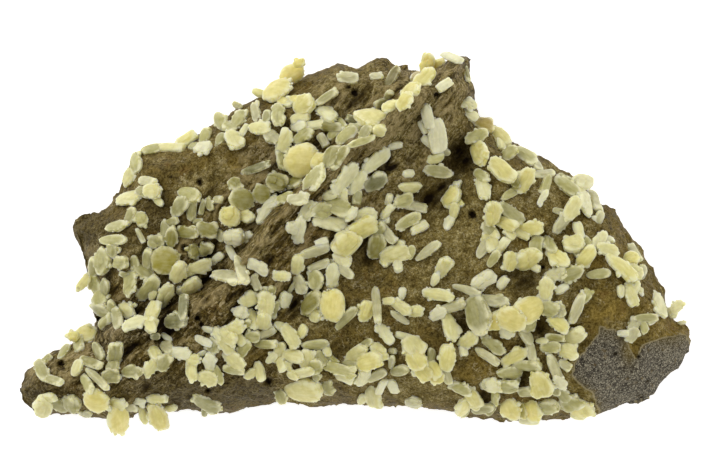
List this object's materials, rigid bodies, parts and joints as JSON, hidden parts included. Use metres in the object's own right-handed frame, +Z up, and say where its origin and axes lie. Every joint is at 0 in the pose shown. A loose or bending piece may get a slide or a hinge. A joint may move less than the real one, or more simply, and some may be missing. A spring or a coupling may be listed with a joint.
{
  "type": "calcite on basalt mineral specimen",
  "caption": "Broken plate of brown-skinned basalt lying flat, its upper face crusted with small blunt pale yellow calcite crystals.",
  "frame": {"origin": "middle of the footprint, on the surface that the flat broken underside rests on", "axes": "+X along the plate from its thin tail to its freshly broken end, +Y across it towards the peak, +Z up out of the crusted face"},
  "size_m": [0.1348, 0.0772, 0.0399],
  "materials": {
    "basalt": "brown weathered skin with dusty grey patches, satin in the smooth hollows; dark grey granular where freshly broken",
    "calcite": "milky pale yellow to white, translucent, satin with frosted growth steps"
  },
  "bodies": {
    "root": {"basalt_matrix": "basalt", "calcite_group_01": "calcite", "calcite_group_02": "calcite", "calcite_group_03": "calcite", "calcite_group_04": "calcite", "calcite_group_05": "calcite", "calcite_group_06": "calcite", "calcite_group_07": "calcite", "calcite_group_08": "calcite", "calcite_group_09": "calcite", "calcite_group_10": "calcite", "calcite_group_11": "calcite", "calcite_group_12": "calcite", "calcite_group_13": "calcite", "calcite_group_14": "calcite", "calcite_group_15": "calcite", "calcite_group_16": "calcite", "calcite_group_17": "calcite", "calcite_group_18": "calcite", "calcite_group_19": "calcite", "calcite_group_20": "calcite", "calcite_group_21": "calcite", "calcite_group_22": "calcite", "calcite_group_23": "calcite", "calcite_group_24": "calcite", "calcite_group_25": "calcite", "calcite_group_26": "calcite", "calcite_group_27": "calcite", "calcite_group_28": "calcite", "calcite_group_29": "calcite", "calcite_group_30": "calcite", "calcite_group_31": "calcite", "calcite_group_32": "calcite", "calcite_group_33": "calcite", "calcite_group_34": "calcite", "calcite_group_35": "calcite", "calcite_group_36": "calcite", "calcite_group_37": "calcite", "calcite_group_38": "calcite", "calcite_group_39": "calcite", "calcite_group_40": "calcite", "calcite_group_41": "calcite", "calcite_group_42": "calcite", "calcite_group_43": "calcite", "calcite_group_44": "calcite", "calcite_group_45": "calcite", "calcite_group_46": "calcite", "calcite_group_47": "calcite", "calcite_group_48": "calcite", "calcite_group_49": "calcite", "calcite_group_50": "calcite", "calcite_group_51": "calcite", "calcite_group_52": "calcite", "calcite_group_53": "calcite", "calcite_group_54": "calcite", "calcite_group_55": "calcite", "calcite_group_56": "calcite", "calcite_group_57": "calcite", "calcite_group_58": "calcite", "calcite_group_59": "calcite"}
  },
  "joints": []
}
